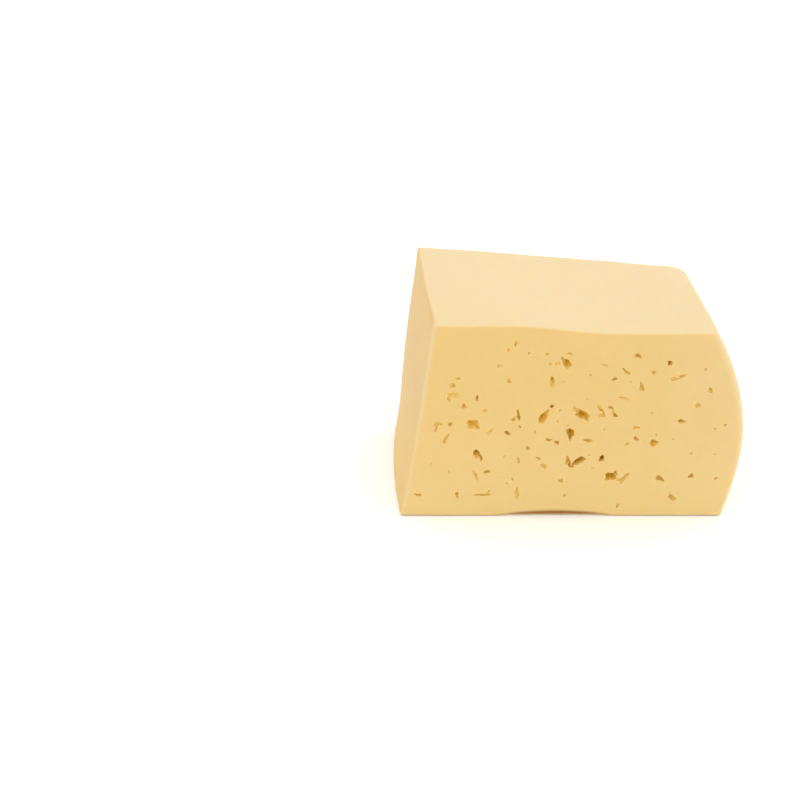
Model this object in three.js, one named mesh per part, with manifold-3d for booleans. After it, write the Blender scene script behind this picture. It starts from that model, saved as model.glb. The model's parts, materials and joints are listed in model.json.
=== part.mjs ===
// A block of pale semi-hard cheese, cut across so that its irregular eyes show on the front and the back.
// Millimetres. X runs along the front cut, Y from the front to the back, Z up. Places on the block are measured
// from the lower left corner of the front cut; the finished solid stands with the middle of its base at the origin.
import * as THREE from 'three';
import { mergeVertices } from 'three/addons/utils/BufferGeometryUtils.js';
import Module from 'manifold-3d';

const wasm = await Module();
wasm.setup();

// Block
const FOOT_LENGTH = 134.8; // front cut along its base
const DEPTH = 87.3; // left side, front to back
const BACK_SLANT = 0.085; // how much of the depth is lost per millimetre to the right
const HEIGHT = 87.6; // front cut at its left end

// Top: falls to the right, earlier at the back than at the front, and dips at the back right corner
const TOP_FALL = 3.4;
const FALL_START = [45, -22]; // at the front and at the back
const FALL_END = [90, 105];
const CORNER_DIP = 2.2;
const TOP_WAVE = 0.25;

// Left side: leans in towards the top and spreads slightly to the left going back
const LEFT_LEAN = 13.1;
const LEFT_LEAN_CURVE = 0.85;
const LEFT_SKEW_FOOT = 1.8;
const LEFT_SKEW_TOP = 5.6;
const LEFT_SWELL = 1.15; // of its back edge, at half height
const LEFT_BOW_FOOT = 2.1; // of its foot, at half depth; the bow straightens out towards the top

// Right side: the natural bulge of the loaf
const BELLY_REACH = 142;
const BELLY_HEIGHT = 38;
const SHOULDER_REACH = 128.7;
const BELLY_CURVE_BELOW = 1.7;
const BELLY_CURVE_ABOVE = 1.95;
const RIGHT_SKEW = 6.3;

// Low recess along the front edge of the base
const ARCH_MIDDLE = 65;
const ARCH_HALF_LENGTH = 25;
const ARCH_RISE = 2.7;
const ARCH_REACH = 1.7; // how far it runs back

// Rounding of the edges
const TOP_EDGE = 1.2;
const BASE_EDGE = 1;
const FRONT_LEFT = [1.3, 3.2]; // upright edges, at the foot and at the top
const FRONT_RIGHT = [2, 4.5];
const BACK_LEFT = [4, 1.6];
const BACK_RIGHT = [8, 8.5];
const CORNER_BLEND = 36; // an upright edge's own radius fades out this far along the block

// Grid of the skin: lines close together at the edges and evenly spaced between
const EDGE_LINES = [0, 0.5, 1.2, 3, 6.5];
const LINES_ALONG = 21;
const LINES_BACK = 15;
const LINES_UP = 16;

// Eyes that mark the front cut: [across, up, length, width, tilt in degrees, depth, corners]
const EYES = [
  // upper left and left
  [46.8, 79.6, 1.8, 1.5, 70, 0.9, 0],
  [44, 77, 1.9, 1.3, 80, 0.9, 0],
  [40.3, 69.7, 2.2, 1.7, 0, 0.9, 0],
  [44.4, 63, 2.5, 1.6, 80, 1.3, 0],
  [23.4, 64, 1.9, 1.6, 60, 0.9, 0],
  [21.3, 61, 2.6, 2.1, 20, 1.5, 4],
  [21.8, 56.4, 4.8, 2.4, 5, 1.5, 4],
  [20, 55, 3, 1.2, -80, 1.1, 3],
  [26.1, 51.3, 1.9, 1.8, 45, 2, 0],
  [31.4, 55, 2.3, 1.3, 75, 2, 3],
  [34.7, 49.5, 2.1, 1.5, -20, 0.9, 0],
  [15.7, 43.3, 3.8, 1.4, -10, 1.4, 3],
  [14.9, 41.3, 3.2, 1.1, -95, 1, 3],
  [20.7, 43.1, 2, 1.6, 60, 1.6, 0],
  [30.2, 42.8, 5, 4.4, 5, 3.2, 4],
  [18.7, 36.3, 4.8, 1.6, 58, 1.3, 3],
  [31.8, 29, 4, 3.3, 95, 3.6, 3],
  [33.5, 27.6, 2.8, 1.4, -65, 2.2, 3],
  [44.2, 39.1, 2.3, 1.9, -10, 2.6, 0],
  [37, 39.6, 3.6, 1.8, 40, 0.8, 3],
  // middle, above
  [67.4, 70.9, 6.2, 2.8, 128, 3.6, 3],
  [64, 70.9, 2.4, 2, 180, 0.9, 3],
  [62, 62.3, 4.6, 2, 88, 2.1, 3],
  [68.8, 75.3, 2.1, 1.5, 15, 0.9, 0],
  [59.8, 75, 2.2, 1.4, 0, 0.8, 0],
  [59.1, 46.5, 6, 3, 66, 3.4, 3],
  [62.3, 51.4, 2.1, 1.8, 20, 2.1, 0],
  [75.3, 47.3, 6.8, 3.4, -32, 3.6, 4],
  [72.5, 49.7, 4.2, 1.5, 132, 1.6, 3],
  [82, 50.6, 4.2, 1.6, -62, 1.3, 3],
  [82.7, 47.3, 3, 2.1, 10, 1.3, 4],
  [86.4, 50.6, 2.4, 1.9, -40, 2.2, 3],
  [87.5, 48.8, 3.6, 1.4, -60, 1.4, 3],
  [88.4, 47.3, 2.3, 1.8, -30, 2.7, 0],
  // middle, below
  [46.6, 45.4, 2.1, 1.7, 30, 1.9, 3],
  [48.7, 47.3, 4.8, 1.5, 100, 2, 3],
  [52.8, 32.2, 2.2, 1.8, 10, 1.4, 0],
  [61.3, 35.9, 2.8, 1.6, -20, 2, 3],
  [64.7, 34.7, 2.2, 1.9, 60, 2.2, 4],
  [70.2, 39.4, 3.6, 3.6, -90, 4, 3],
  [70.2, 37.3, 3.6, 1.4, -88, 3, 3],
  [77.7, 35.7, 3.6, 1.4, 166, 2, 3],
  [74.1, 26, 5.8, 2.8, 40, 5, 4],
  [69.7, 26.1, 4, 1.6, 98, 2.4, 3],
  [70.8, 23.8, 2.6, 1.5, -35, 2.6, 3],
  [83.7, 27.3, 3.1, 1.9, 86, 4.2, 4],
  [87.6, 18.7, 5.6, 3, 2, 4, 4],
  [89.6, 20.4, 2.4, 1.2, 85, 2.4, 3],
  [91, 17.6, 2.6, 1.5, -5, 1.2, 3],
  [93.4, 18, 5.2, 1.6, 60, 1.7, 3],
  [57.2, 27.4, 2.2, 1.6, 0, 1.4, 0],
  [59.7, 23.4, 2.8, 1.8, -50, 1.5, 0],
  [49.2, 26.4, 2.6, 1.3, 85, 0.9, 0],
  [36.2, 21, 2.2, 1.9, 30, 2.1, 0],
  [31.4, 19.4, 4.8, 1.5, -64, 1.1, 3],
  [48.7, 10.7, 5.4, 1.7, 82, 1.4, 3],
  [34.4, 10.2, 7, 1, 184, 1.3, 3],
  [36.8, 11.2, 2.2, 1.1, 70, 1.2, 3],
  [23.7, 10.2, 2.7, 2, -70, 2.1, 3],
  [7.7, 10.1, 2.8, 1.6, 155, 1.5, 3],
  [67.2, 16.7, 2.1, 1.6, 60, 1.5, 0],
  // right
  [96.5, 74, 2.8, 1.8, -5, 1.9, 3],
  [109.4, 70.9, 2.3, 2, 10, 2.8, 4],
  [103.3, 66.6, 2.1, 1.5, -60, 1.5, 0],
  [111.8, 63.9, 3, 1.4, -5, 1.2, 3],
  [115, 65.2, 3.8, 1.2, 20, 1.4, 3],
  [91.9, 67, 3.8, 1.6, 146, 1.5, 3],
  [87.5, 63.7, 2.1, 1.6, -15, 1.6, 0],
  [83.3, 70.2, 2.3, 1.4, -10, 0.8, 0],
  [98.5, 60.2, 4.9, 1.5, 100, 1.6, 3],
  [91.8, 55, 4, 1.2, -12, 0.9, 3],
  [126.6, 58.7, 2.8, 2, 95, 1.6, 0],
  [121.9, 51.9, 2.4, 2, 80, 1.6, 0],
  [116, 44.4, 3.4, 1.8, -4, 2.8, 3],
  [97.1, 41.5, 3.4, 0.9, 0, 1.1, 3],
  [97.5, 36.3, 2.1, 1.6, -20, 2.1, 3],
  [105, 34.3, 3.4, 2.8, -105, 3, 3],
  [108.1, 17.9, 3.8, 1.9, -34, 2.6, 3],
  [121.1, 19, 2.1, 2, -30, 2.4, 3],
  [113.6, 9, 4, 2, -36, 2, 4],
  [91.2, 5.2, 1.9, 1.4, 80, 1, 0],
];

// Fine pits between them, and the eyes of the back cut, drawn by seed
const PIT_COUNT = 30;
const PIT_SIZE = [0.9, 1.7];
const BACK_EYES = [
  { count: 9, size: [3.4, 5.8] },
  { count: 22, size: [1.8, 3] },
  { count: 16, size: [1, 1.7] },
];
const SEED = 4177;
const FACE_MARGIN = 5; // clear strip along the edges of a cut face
const TOP_MARGIN = 9; // and below the top
const EYE_GAP = 1.2; // least paste between two eyes
const CROWD_HEIGHT = 38; // the eyes crowd around the middle of the face, at this height
const CROWD_SPREAD = [46, 27];

// Form of an eye
const FINE_LENGTH = 3.5; // eyes longer than this have finer walls
const MOUTH_CLEAR = 0.6; // how far the cutting plug stands proud of the face
const CORNER_REACH = 1.2; // corners against the middle of the walls, as shares of half the eye
const FLANK_REACH = 0.9;
const MOUTH_SHARE = 1.06; // width of the plug where it stands proud of the face
const FLOOR_SHARE = 0.4; // width of the floor against the mouth
const FLOOR_DRIFT = 0.3; // sideways shift of the floor, as a share of half the eye
const LOBES = [0.4, 2.5, 4.6]; // where an outline swells, in radians from its tip
const LOBE_SWELL = [0.13, 0.08];
const ROUND_SIDES = 6; // facets around an eye without corners

const MERGE_DISTANCE = 1e-4;
const SKIN_TOLERANCE = 0.03; // facets that would move less than this are joined
const SOLE_TOLERANCE = 0.12; // points of the base lower than this lie in its plane

const PASTE_COLOUR = 0xefcb86;

const smooth = THREE.MathUtils.smoothstep;
const mix = THREE.MathUtils.lerp;

// Repeatable draws between 0 and 1
function seededDraws(seed) {
  let state = seed;
  return () => {
    state = (state * 48271) % 2147483647;
    return state / 2147483647;
  };
}

// Left end of the block at a height and depth, both given as shares of the whole
function leftEnd(upShare, backShare) {
  const skew = mix(LEFT_SKEW_FOOT, LEFT_SKEW_TOP, upShare) * backShare;
  const swell = LEFT_SWELL * Math.sin(Math.PI * upShare) ** 2 * backShare;
  const bow = LEFT_BOW_FOOT * (1 - upShare) * 4 * backShare * (1 - backShare);
  return LEFT_LEAN * upShare ** LEFT_LEAN_CURVE - skew - swell - bow;
}

// Right end: widest at the belly, drawn in to the foot and the shoulder
function rightEnd(upShare, backShare) {
  const fromBelly = upShare * HEIGHT - BELLY_HEIGHT;
  const drawnIn = fromBelly < 0
    ? (BELLY_REACH - FOOT_LENGTH) * (-fromBelly / BELLY_HEIGHT) ** BELLY_CURVE_BELOW
    : (BELLY_REACH - SHOULDER_REACH) * (fromBelly / (HEIGHT - BELLY_HEIGHT)) ** BELLY_CURVE_ABOVE;
  return BELLY_REACH - drawnIn - RIGHT_SKEW * backShare;
}

function backFace(across) {
  return DEPTH - BACK_SLANT * across;
}

function topHeight(across, backShare) {
  const rightShare = Math.max(0, across / FOOT_LENGTH);
  const fall = TOP_FALL * smooth(across, mix(...FALL_START, backShare), mix(...FALL_END, backShare));
  const dip = CORNER_DIP * (rightShare * backShare) ** 2;
  const wave = TOP_WAVE * Math.sin(across / 19) * Math.sin(Math.PI * backShare);
  return HEIGHT - fall - dip + wave;
}

function archLift(across, back) {
  const side = (across - ARCH_MIDDLE) / ARCH_HALF_LENGTH;
  const behind = back / ARCH_REACH;
  return ARCH_RISE * Math.max(0, 1 - side ** 2) * Math.max(0, 1 - behind) ** 2;
}

// Positions of the grid lines along one side of the block
function gridLines(length, count) {
  const last = EDGE_LINES.length - 1;
  const inner = EDGE_LINES[last];
  return Array.from({ length: count + 1 }, (_, i) => {
    if (i <= last) return EDGE_LINES[i];
    if (i >= count - last) return length - EDGE_LINES[count - i];
    return mix(inner, length - inner, (i - last) / (count - 2 * last));
  });
}

// Radius of the nearest upright edge, fading to that of the level edges away from it
function uprightRadius(point, levelEdge) {
  const left = point.x < FOOT_LENGTH / 2;
  const front = point.y < DEPTH / 2;
  const sideways = left ? point.x : FOOT_LENGTH - point.x;
  const inwards = front ? point.y : DEPTH - point.y;
  const near = 1 - smooth(Math.max(sideways, inwards), CORNER_BLEND / 3, CORNER_BLEND);
  const [ownFront, ownBack] = left ? [FRONT_LEFT, BACK_LEFT] : [FRONT_RIGHT, BACK_RIGHT];
  return mix(levelEdge, mix(...(front ? ownFront : ownBack), point.z / HEIGHT), near);
}

// Moves a point of the straight block onto its rounded edges
function roundEdges(point) {
  const levelEdge = point.z < HEIGHT / 2 ? BASE_EDGE : TOP_EDGE;
  const radius = uprightRadius(point, levelEdge);
  const core = point.clone().clamp(
    new THREE.Vector3(radius, radius, levelEdge),
    new THREE.Vector3(FOOT_LENGTH - radius, DEPTH - radius, HEIGHT - levelEdge),
  );
  const stretch = new THREE.Vector3(radius, radius, levelEdge);
  const outward = point.clone().sub(core).divide(stretch).normalize().multiply(stretch);
  point.copy(core).add(outward);
}

// Moves a point of the rounded straight block to its place on the real one
function settle(point) {
  const backShare = point.y / DEPTH;
  const upShare = THREE.MathUtils.clamp(point.z / HEIGHT, 0, 1);
  const across = mix(leftEnd(upShare, backShare), rightEnd(upShare, backShare), point.x / FOOT_LENGTH);
  const back = backShare * backFace(across);
  point.set(across, back, mix(archLift(across, back), topHeight(across, backShare), upShare));
}

function toSolid(geometry) {
  geometry.deleteAttribute('normal');
  geometry.deleteAttribute('uv');
  const merged = mergeVertices(geometry, MERGE_DISTANCE);
  return new wasm.Manifold(new wasm.Mesh({
    numProp: 3,
    vertProperties: new Float32Array(merged.attributes.position.array),
    triVerts: new Uint32Array(merged.index.array),
  }));
}

function blockSolid() {
  const skin = new THREE.BoxGeometry(1, 1, 1, LINES_ALONG, LINES_BACK, LINES_UP);
  const along = gridLines(FOOT_LENGTH, LINES_ALONG);
  const back = gridLines(DEPTH, LINES_BACK);
  const up = gridLines(HEIGHT, LINES_UP);
  const spots = skin.attributes.position;
  const point = new THREE.Vector3();
  for (let i = 0; i < spots.count; i += 1) {
    point.fromBufferAttribute(spots, i).addScalar(0.5);
    point.set(
      along[Math.round(point.x * LINES_ALONG)],
      back[Math.round(point.y * LINES_BACK)],
      up[Math.round(point.z * LINES_UP)],
    );
    roundEdges(point);
    settle(point);
    spots.setXYZ(i, point.x, point.y, point.z);
  }
  return toSolid(skin);
}

// Distance from an eye's middle to its wall: pointed at each corner and hollow between corners
function wallReach(angle, corners, lobe) {
  const uneven = 1 + LOBE_SWELL[0] * Math.sin(2 * angle + lobe) + LOBE_SWELL[1] * Math.sin(3 * angle - lobe);
  if (corners === 0) return uneven;
  const turn = corners === 4 ? Math.PI / 4 : 0;
  const place = ((angle - turn) * corners) / (2 * Math.PI);
  const fromCorner = 2 * Math.abs(place - Math.round(place));
  return uneven * mix(CORNER_REACH, FLANK_REACH, Math.sin((fromCorner * Math.PI) / 2));
}

// Closed plug that cuts one eye; outward is -1 on the front cut and 1 on the back cut
function eyePlug([across, up, length, width, tilt, depth, corners], outward, draw) {
  const fine = length > FINE_LENGTH ? 1 : 0;
  const sides = corners === 0 ? ROUND_SIDES : corners * (2 + fine);
  const plug = new THREE.CylinderGeometry(1, 1, 1, sides, 2 + fine);
  const lobe = LOBES[Math.floor(draw() * LOBES.length)];
  const lean = THREE.MathUtils.degToRad(tilt);
  const face = outward < 0 ? 0 : backFace(across);
  const spots = plug.attributes.position;
  for (let i = 0; i < spots.count; i += 1) {
    const inShare = 0.5 - spots.getY(i);
    const sideX = spots.getX(i);
    const sideZ = outward * spots.getZ(i);
    const angle = Math.atan2(sideZ, sideX);
    const narrowing = mix(MOUTH_SHARE, FLOOR_SHARE, inShare ** 1.7);
    const wall = Math.hypot(sideX, sideZ) * wallReach(angle, corners, lobe) * narrowing;
    const drift = FLOOR_DRIFT * inShare;
    const alongEye = ((wall * Math.cos(angle) + drift * Math.cos(lobe)) * length) / 2;
    const acrossEye = ((wall * Math.sin(angle) + drift * Math.sin(lobe)) * width) / 2;
    spots.setXYZ(
      i,
      across + alongEye * Math.cos(lean) - acrossEye * Math.sin(lean),
      face + outward * mix(MOUTH_CLEAR, -depth, inShare),
      up + alongEye * Math.sin(lean) + acrossEye * Math.cos(lean),
    );
  }
  return toSolid(plug);
}

function isClear(eye, others) {
  return others.every((other) => {
    const apart = Math.hypot(eye[0] - other[0], eye[1] - other[1]);
    return apart > (Math.max(eye[2], eye[3]) + Math.max(other[2], other[3])) / 2 + EYE_GAP;
  });
}

// Adds eyes of one size range to a cut face, clear of its edges and of the eyes already there
function scatterEyes(count, [smallest, largest], taken, backShare, draw) {
  const wanted = taken.length + count;
  while (taken.length < wanted) {
    const up = mix(FACE_MARGIN, HEIGHT - TOP_MARGIN, draw());
    const left = leftEnd(up / HEIGHT, backShare) + FACE_MARGIN;
    const right = rightEnd(up / HEIGHT, backShare) - FACE_MARGIN - BACK_RIGHT[0] * backShare;
    const across = mix(left, right, draw());
    const length = mix(smallest, largest, draw() ** 2);
    const width = length * mix(0.45, 0.9, draw());
    const corners = length > PIT_SIZE[1] ? 3 + Math.floor(draw() * 2) : 0;
    const eye = [across, up, length, width, draw() * 180, width * mix(0.5, 1.2, draw()), corners];
    const sideways = (across - (left + right) / 2) / CROWD_SPREAD[0];
    const upwards = (up - CROWD_HEIGHT) / CROWD_SPREAD[1];
    const crowding = 0.25 + 0.75 * Math.exp(-(sideways ** 2) - upwards ** 2);
    if (draw() < crowding && isClear(eye, taken)) taken.push(eye);
  }
}

function eyePlugs() {
  const draw = seededDraws(SEED);
  const front = [...EYES];
  scatterEyes(PIT_COUNT, PIT_SIZE, front, 0, draw);
  const back = [];
  for (const { count, size } of BACK_EYES) scatterEyes(count, size, back, 1, draw);
  return wasm.Manifold.union([
    ...front.map((eye) => eyePlug(eye, -1, draw)),
    ...back.map((eye) => eyePlug(eye, 1, draw)),
  ]);
}

function toGeometry(solid) {
  const mesh = solid.getMesh();
  const geometry = new THREE.BufferGeometry();
  geometry.setAttribute('position', new THREE.BufferAttribute(mesh.vertProperties, 3));
  geometry.setIndex(new THREE.BufferAttribute(mesh.triVerts, 1));
  return geometry;
}

// Stands the solid with the middle of its base at the origin
function centreOnBase(geometry) {
  geometry.computeBoundingBox();
  const middle = geometry.boundingBox.getCenter(new THREE.Vector3());
  geometry.translate(-middle.x, -middle.y, -geometry.boundingBox.min.z);
  geometry.computeVertexNormals();
}

// Brings the start of the lower rounding into the plane of the base, so that the block stands on one flat face
function levelBase(point) {
  if (point[2] < SOLE_TOLERANCE) point[2] = 0;
}

const cheese = toGeometry(blockSolid().subtract(eyePlugs()).simplify(SKIN_TOLERANCE).warp(levelBase));
centreOnBase(cheese);

const paste = new THREE.MeshStandardMaterial({ color: PASTE_COLOUR, roughness: 0.6, metalness: 0 });
paste.name = 'cheese_paste';
const block = new THREE.Mesh(cheese, paste);
block.name = 'cheese_block';

const part = new THREE.Group();
part.name = 'cheese';
part.add(block);

export default part;
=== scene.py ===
"""Builds a rindless block of pale semi-hard cheese with irregular eyes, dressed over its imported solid."""

import json
import logging
import math
from collections.abc import Iterator
from dataclasses import dataclass, field, replace
from enum import Enum

import bpy
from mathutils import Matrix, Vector, noise

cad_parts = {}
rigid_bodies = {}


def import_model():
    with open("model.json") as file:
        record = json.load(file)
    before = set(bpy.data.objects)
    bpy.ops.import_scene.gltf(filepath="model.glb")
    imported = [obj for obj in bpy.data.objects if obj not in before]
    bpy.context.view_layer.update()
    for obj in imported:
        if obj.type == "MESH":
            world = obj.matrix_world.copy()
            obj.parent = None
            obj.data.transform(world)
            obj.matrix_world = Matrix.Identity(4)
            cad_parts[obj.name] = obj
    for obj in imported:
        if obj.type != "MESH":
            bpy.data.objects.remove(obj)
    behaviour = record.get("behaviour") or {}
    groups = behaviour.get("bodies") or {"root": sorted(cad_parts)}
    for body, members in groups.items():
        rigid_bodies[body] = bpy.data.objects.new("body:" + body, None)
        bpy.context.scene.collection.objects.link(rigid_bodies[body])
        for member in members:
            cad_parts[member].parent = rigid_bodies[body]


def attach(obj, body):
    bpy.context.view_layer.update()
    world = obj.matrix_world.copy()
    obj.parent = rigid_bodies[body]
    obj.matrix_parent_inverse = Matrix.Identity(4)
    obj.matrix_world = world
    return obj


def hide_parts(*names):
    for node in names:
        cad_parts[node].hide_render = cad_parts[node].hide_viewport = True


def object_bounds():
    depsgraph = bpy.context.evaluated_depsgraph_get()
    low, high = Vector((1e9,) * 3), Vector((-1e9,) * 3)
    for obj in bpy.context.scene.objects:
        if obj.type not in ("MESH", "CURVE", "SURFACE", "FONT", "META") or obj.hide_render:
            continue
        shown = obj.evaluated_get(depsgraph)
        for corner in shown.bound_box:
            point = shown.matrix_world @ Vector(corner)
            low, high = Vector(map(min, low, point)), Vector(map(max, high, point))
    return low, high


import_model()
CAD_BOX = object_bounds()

MM = 0.001
DRAW_FACTOR = 48271
DRAW_RANGE = 2147483647

log = logging.getLogger("cheese")


def mix(low: float, high: float, share: float) -> float:
    """Goes from low at share 0 to high at share 1."""
    return low + (high - low) * share


def smooth(value: float, low: float, high: float) -> float:
    """Eases from 0 at low to 1 at high."""
    share = min(1.0, max(0.0, (value - low) / (high - low)))
    return share * share * (3 - 2 * share)


def seeded_draws(seed: int) -> Iterator[float]:
    """Yields repeatable draws.

    Args:
        seed: where the draws start.

    Returns:
        Draws between 0 and 1, without end.
    """
    state = seed
    while True:
        state = state * DRAW_FACTOR % DRAW_RANGE
        yield state / DRAW_RANGE


def edge_middle(part: float) -> float:
    """Gives 1 in the middle of a rounded edge and 0 at its ends, from one part of the way it faces."""
    return 4 * part**2 * (1 - part**2)


def srgb(code: int) -> tuple[float, float, float, float]:
    """Turns an sRGB hex value into the linear colour that nodes take.

    Args:
        code: the colour as 0xRRGGBB.

    Returns:
        Linear red, green and blue, with alpha 1.
    """
    channels = [(code >> shift & 0xFF) / 255 for shift in (16, 8, 0)]
    linear = [c / 12.92 if c <= 0.04045 else ((c + 0.055) / 1.055) ** 2.4 for c in channels]
    return (*linear, 1.0)


def add_node(tree: bpy.types.NodeTree, kind: str, inputs: dict | None = None,
             **settings: object) -> bpy.types.Node:
    """Adds a node with its settings and links.

    Args:
        tree: the shader or geometry tree.
        kind: the node's Blender type.
        inputs: for each socket, by name or number, its value, the output that feeds it, or a list of outputs.
        **settings: the node's own properties.

    Returns:
        The new node.
    """
    made = tree.nodes.new(kind)
    for name, value in settings.items():
        setattr(made, name, value)
    for name, value in (inputs or {}).items():
        for source in value if isinstance(value, list) else [value]:
            if isinstance(source, bpy.types.NodeSocket):
                tree.links.new(source, made.inputs[name])
            else:
                made.inputs[name].default_value = source
    return made


class Cut(Enum):
    """The two cut faces that show eyes, each with the way it faces along Y."""

    FRONT = -1
    BACK = 1


class Mark(Enum):
    """What the mesh tells the paste about each of its points."""

    CUT = "cut_face"  # 1 on a cut face and in its eyes, 0 on the outside of the loaf
    LEFT = "left_side"  # 1 on the left side, which takes painted shade as it turns from the lamps
    EDGE = "edge"  # 1 along the middle of a cut face's rounded edges, apart from the lower ones
    FOOT = "foot_shade"  # 1 in the recess at the foot and less along the lower edges
    DEPTH = "eye_depth"  # millimetres below the cut face, in eyes alone


@dataclass(frozen=True)
class BlockForm:
    """Sizes and outline of the block, in millimetres from the lower left corner of the front cut."""

    foot_length: float = 134.8
    depth: float = 87.3
    back_slant: float = 0.085
    height: float = 87.6
    top_fall: float = 3.4
    fall_start: tuple[float, float] = (45.0, -22.0)  # at the front and at the back
    fall_end: tuple[float, float] = (90.0, 105.0)
    corner_dip: float = 2.2
    top_wave: float = 0.25
    top_wave_turn: float = 19.0  # across, for each radian of the wave
    left_lean: float = 13.1
    left_lean_curve: float = 0.85
    left_skew_foot: float = 1.8
    left_skew_top: float = 5.6
    left_swell: float = 1.15  # of its back edge, at half height
    left_bow_foot: float = 2.1  # of its foot, at half depth
    belly_reach: float = 142.0
    belly_height: float = 38.0
    shoulder_reach: float = 128.7
    belly_curve_below: float = 1.7
    belly_curve_above: float = 1.95
    right_skew: float = 6.3
    arch_middle: float = 65.0
    arch_half_length: float = 25.0
    arch_rise: float = 2.7
    arch_reach: float = 1.7
    lip_facing: tuple[float, float] = (0.3, 0.8)  # how far down the recess looks, from light to full shade
    lip_share: float = 0.5  # of the recess's height, from which it lies in full shade
    lower_edge_shade: float = 0.5
    top_edge: float = 1.2
    base_edge: float = 1.0
    front_left: tuple[float, float] = (1.3, 3.2)  # upright edges, at the foot and at the top
    front_right: tuple[float, float] = (2.0, 4.5)
    back_left: tuple[float, float] = (4.0, 1.6)
    back_right: tuple[float, float] = (8.0, 8.5)
    corner_blend: tuple[float, float] = (12.0, 36.0)  # from an upright edge, where its own radius fades

    def left_end(self, up_share: float, back_share: float) -> float:
        """Gives the left end, which leans in towards the top and spreads slightly to the left going back.

        Args:
            up_share: height as a share of the whole.
            back_share: depth as a share of the whole.

        Returns:
            Millimetres from the lower left corner.
        """
        skew = mix(self.left_skew_foot, self.left_skew_top, up_share) * back_share
        swell = self.left_swell * math.sin(math.pi * up_share) ** 2 * back_share
        bow = self.left_bow_foot * (1 - up_share) * 4 * back_share * (1 - back_share)
        return self.left_lean * up_share**self.left_lean_curve - skew - swell - bow

    def right_end(self, up_share: float, back_share: float) -> float:
        """Gives the right end, widest at the belly and drawn in to the foot and the shoulder.

        Args:
            up_share: height as a share of the whole.
            back_share: depth as a share of the whole.

        Returns:
            Millimetres from the lower left corner.
        """
        from_belly = up_share * self.height - self.belly_height
        if from_belly < 0:
            share = -from_belly / self.belly_height
            drawn_in = (self.belly_reach - self.foot_length) * share**self.belly_curve_below
        else:
            share = from_belly / (self.height - self.belly_height)
            drawn_in = (self.belly_reach - self.shoulder_reach) * share**self.belly_curve_above
        return self.belly_reach - drawn_in - self.right_skew * back_share

    def back_face(self, across: float) -> float:
        """Gives how far back the back cut lies."""
        return self.depth - self.back_slant * across

    def top_height(self, across: float, back_share: float) -> float:
        """Gives the height of the top, which falls to the right and dips at the back right corner.

        Args:
            across: millimetres to the right of the lower left corner.
            back_share: depth as a share of the whole.

        Returns:
            Millimetres above the base.
        """
        right_share = max(0.0, across / self.foot_length)
        start, end = mix(*self.fall_start, back_share), mix(*self.fall_end, back_share)
        fall = self.top_fall * smooth(across, start, end)
        dip = self.corner_dip * (right_share * back_share) ** 2
        wave = self.top_wave * math.sin(across / self.top_wave_turn) * math.sin(math.pi * back_share)
        return self.height - fall - dip + wave

    def arch_lift(self, across: float, back: float) -> float:
        """Gives how far the base is lifted by the recess along its front edge.

        Args:
            across: millimetres to the right of the lower left corner.
            back: millimetres behind the front cut.

        Returns:
            The lift in millimetres.
        """
        side = (across - self.arch_middle) / self.arch_half_length
        behind = back / self.arch_reach
        return self.arch_rise * max(0.0, 1 - side**2) * max(0.0, 1 - behind) ** 2

    def foot_shade(self, spot: Vector, facing: Vector) -> float:
        """Gives how deep in shade the foot is: fully under the lip of the recess, less along the lower edges.

        Args:
            spot: a point on the block.
            facing: the way the surface faces there.

        Returns:
            A share from 0 away from the foot to 1.
        """
        lifted = smooth(self.arch_lift(spot.x, spot.y) / self.arch_rise, 0.0, self.lip_share)
        shade_under_lip = smooth(-facing.z, *self.lip_facing) * lifted
        lower_edge = self.lower_edge_shade * edge_middle(facing.z) if facing.z < 0 else 0.0
        return max(shade_under_lip, lower_edge)

    def upright_radius(self, point: Vector, level_edge: float) -> float:
        """Gives the radius of the nearest upright edge, fading to that of the level edges away from it.

        Args:
            point: a point on the straight block.
            level_edge: the radius of the level edges.

        Returns:
            The radius in millimetres.
        """
        left = point.x < self.foot_length / 2
        front = point.y < self.depth / 2
        sideways = point.x if left else self.foot_length - point.x
        inwards = point.y if front else self.depth - point.y
        near = 1 - smooth(max(sideways, inwards), *self.corner_blend)
        front_edge, back_edge = self.front_right, self.back_right
        if left:
            front_edge, back_edge = self.front_left, self.back_left
        own = mix(*(front_edge if front else back_edge), point.z / self.height)
        return mix(level_edge, own, near)

    def round_edges(self, point: Vector) -> tuple[Vector, Vector]:
        """Moves a point of the straight block onto its rounded edges.

        Args:
            point: a point on the straight block.

        Returns:
            The moved point, and the way the surface faces there.
        """
        level_edge = self.base_edge if point.z < self.height / 2 else self.top_edge
        radius = self.upright_radius(point, level_edge)
        spare = (radius, radius, level_edge)
        sides = (self.foot_length, self.depth, self.height)
        core = Vector([min(max(p, s), side - s) for p, s, side in zip(point, spare, sides)])
        facing = Vector([(p - c) / s for p, c, s in zip(point, core, spare)]).normalized()
        return core + Vector([f * s for f, s in zip(facing, spare)]), facing

    def settle(self, point: Vector) -> Vector:
        """Moves a point of the rounded straight block to its place on the real one.

        Args:
            point: a point on the rounded straight block.

        Returns:
            The point on the real block.
        """
        back_share = point.y / self.depth
        up_share = min(1.0, max(0.0, point.z / self.height))
        ends = self.left_end(up_share, back_share), self.right_end(up_share, back_share)
        across = mix(*ends, point.x / self.foot_length)
        back = back_share * self.back_face(across)
        heights = self.arch_lift(across, back), self.top_height(across, back_share)
        return Vector((across, back, mix(*heights, up_share)))


@dataclass(frozen=True)
class Eye:
    """One opening in a cut face: its place and sizes in millimetres, its tilt in degrees and its form."""

    across: float
    up: float
    length: float
    width: float
    tilt: float
    depth: float
    corners: int
    lobe: int = 0

    def clear_of(self, other: "Eye", gap: float, swell: float = 1.0) -> bool:
        """Tells whether a gap is left between this eye and another, with both swollen by a factor."""
        apart = math.hypot(self.across - other.across, self.up - other.up)
        return apart > swell * (max(self.length, self.width) + max(other.length, other.width)) / 2 + gap


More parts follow.
